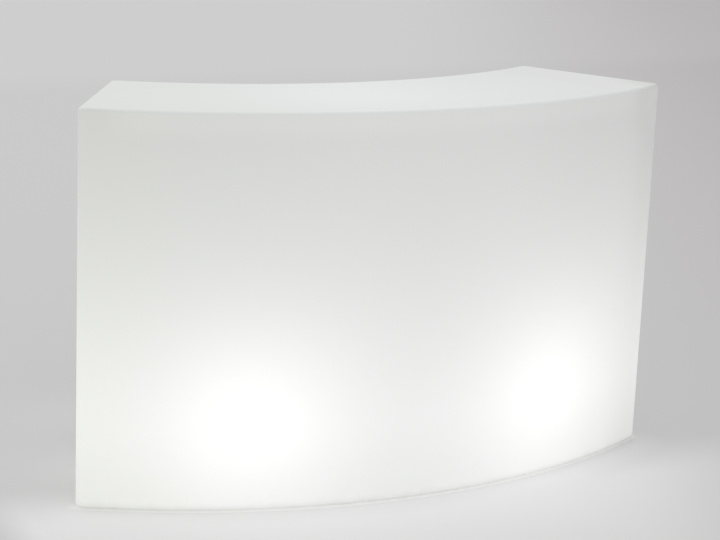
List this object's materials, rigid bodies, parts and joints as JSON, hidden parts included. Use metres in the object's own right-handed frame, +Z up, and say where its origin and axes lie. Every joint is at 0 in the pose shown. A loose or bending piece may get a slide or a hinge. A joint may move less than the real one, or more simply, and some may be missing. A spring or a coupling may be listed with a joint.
{
  "type": "bar counter with shelves",
  "caption": "Curved, internally lit bar counter with a flat top, and open bays with shelves, light units and a cable inlet behind, on levelling feet.",
  "frame": {"origin": "on the floor, in the middle of the counter's overall box", "axes": "+Z up; +X to the right as the customer sees it, along the counter's length; -Y towards the customer, +Y towards the bartender"},
  "size_m": [1.7852, 0.6408, 1.1],
  "materials": {
    "body": "translucent white rotomoulded polyethylene, satin",
    "laminate": "white compact laminate with a dark core",
    "zinc_steel": "zinc plated steel",
    "stainless": "stainless steel",
    "brass": "turned brass",
    "cover_plastic": "light grey moulded plastic",
    "holder_plastic": "white heat-proof plastic",
    "rubber": "black rubber",
    "gasket_rubber": "grey foam rubber",
    "bulb_plastic": "white coated aluminium and plastic",
    "opal": "opal diffuser",
    "nickel": "nickel plated",
    "foot_plastic": "black glass-filled nylon",
    "gland_plastic": "light grey nylon"
  },
  "bodies": {
    "body": {"body_shell": "body", "shelf_lower_left": "laminate", "shelf_lower_right": "laminate", "shelf_upper_left": "laminate", "shelf_upper_right": "laminate", "shelf_screws": "stainless", "shelf_inserts": "brass", "light_cover_left": "cover_plastic", "light_cover_right": "cover_plastic", "light_cover_screws_left": "stainless", "light_cover_screws_right": "stainless", "light_cover_inserts_left": "brass", "light_cover_inserts_right": "brass", "light_gasket_left": "gasket_rubber", "light_gasket_right": "gasket_rubber", "lampholder_left": "holder_plastic", "lampholder_right": "holder_plastic", "lampholder_sleeve_left": "nickel", "lampholder_sleeve_right": "nickel", "lampholder_screws_left": "stainless", "lampholder_screws_right": "stainless", "bulb_cap_left": "nickel", "bulb_cap_right": "nickel", "bulb_housing_left": "bulb_plastic", "bulb_housing_right": "bulb_plastic", "bulb_dome_left": "opal", "bulb_dome_right": "opal", "foot_inserts": "brass", "link_inserts": "brass", "gland_body": "gland_plastic", "gland_seal": "rubber", "gland_cap": "gland_plastic", "gland_locknut": "gland_plastic", "vent_plug": "gland_plastic"},
    "foot_front_left": {"foot_pad_front_left": "foot_plastic", "foot_sole_front_left": "rubber"},
    "stud_front_left": {"foot_stud_front_left": "zinc_steel"},
    "foot_front_middle": {"foot_pad_front_middle": "foot_plastic", "foot_sole_front_middle": "rubber"},
    "stud_front_middle": {"foot_stud_front_middle": "zinc_steel"},
    "foot_front_right": {"foot_pad_front_right": "foot_plastic", "foot_sole_front_right": "rubber"},
    "stud_front_right": {"foot_stud_front_right": "zinc_steel"},
    "foot_rear_left": {"foot_pad_rear_left": "foot_plastic", "foot_sole_rear_left": "rubber"},
    "stud_rear_left": {"foot_stud_rear_left": "zinc_steel"},
    "foot_rear_middle": {"foot_pad_rear_middle": "foot_plastic", "foot_sole_rear_middle": "rubber"},
    "stud_rear_middle": {"foot_stud_rear_middle": "zinc_steel"},
    "foot_rear_right": {"foot_pad_rear_right": "foot_plastic", "foot_sole_rear_right": "rubber"},
    "stud_rear_right": {"foot_stud_rear_right": "zinc_steel"}
  },
  "joints": [
    {"name": "foot_travel_front_left", "type": "slide", "parent": "body", "child": "foot_front_left", "axis": [0, 0, -1], "range_m": [0, 0.012]},
    {"name": "foot_turn_front_left", "type": "hinge", "parent": "foot_front_left", "child": "stud_front_left", "pos_m": [-0.78811, -0.06954, 0.02], "axis": [0, 0, -1], "range_deg": [0, 2880]},
    {"name": "foot_travel_front_middle", "type": "slide", "parent": "body", "child": "foot_front_middle", "axis": [0, 0, -1], "range_m": [0, 0.012]},
    {"name": "foot_turn_front_middle", "type": "hinge", "parent": "foot_front_middle", "child": "stud_front_middle", "pos_m": [0, -0.2585, 0.02], "axis": [0, 0, -1], "range_deg": [0, 2880]},
    {"name": "foot_travel_front_right", "type": "slide", "parent": "body", "child": "foot_front_right", "axis": [0, 0, -1], "range_m": [0, 0.012]},
    {"name": "foot_turn_front_right", "type": "hinge", "parent": "foot_front_right", "child": "stud_front_right", "pos_m": [0.78811, -0.06954, 0.02], "axis": [0, 0, -1], "range_deg": [0, 2880]},
    {"name": "foot_travel_rear_left", "type": "slide", "parent": "body", "child": "foot_rear_left", "axis": [0, 0, -1], "range_m": [0, 0.012]},
    {"name": "foot_turn_rear_left", "type": "hinge", "parent": "foot_rear_left", "child": "stud_rear_left", "pos_m": [-0.6148, 0.23063, 0.02], "axis": [0, 0, -1], "range_deg": [0, 2880]},
    {"name": "foot_travel_rear_middle", "type": "slide", "parent": "body", "child": "foot_rear_middle", "axis": [0, 0, -1], "range_m": [0, 0.012]},
    {"name": "foot_turn_rear_middle", "type": "hinge", "parent": "foot_rear_middle", "child": "stud_rear_middle", "pos_m": [0, 0.0875, 0.02], "axis": [0, 0, -1], "range_deg": [0, 2880]},
    {"name": "foot_travel_rear_right", "type": "slide", "parent": "body", "child": "foot_rear_right", "axis": [0, 0, -1], "range_m": [0, 0.012]},
    {"name": "foot_turn_rear_right", "type": "hinge", "parent": "foot_rear_right", "child": "stud_rear_right", "pos_m": [0.6148, 0.23063, 0.02], "axis": [0, 0, -1], "range_deg": [0, 2880]}
  ],
  "couplings": [
    {"joint": "foot_turn_front_left", "follows": "foot_travel_front_left", "rad_per_m": 4188.8},
    {"joint": "foot_turn_front_middle", "follows": "foot_travel_front_middle", "rad_per_m": 4188.8},
    {"joint": "foot_turn_front_right", "follows": "foot_travel_front_right", "rad_per_m": 4188.8},
    {"joint": "foot_turn_rear_left", "follows": "foot_travel_rear_left", "rad_per_m": 4188.8},
    {"joint": "foot_turn_rear_middle", "follows": "foot_travel_rear_middle", "rad_per_m": 4188.8},
    {"joint": "foot_turn_rear_right", "follows": "foot_travel_rear_right", "rad_per_m": 4188.8}
  ]
}
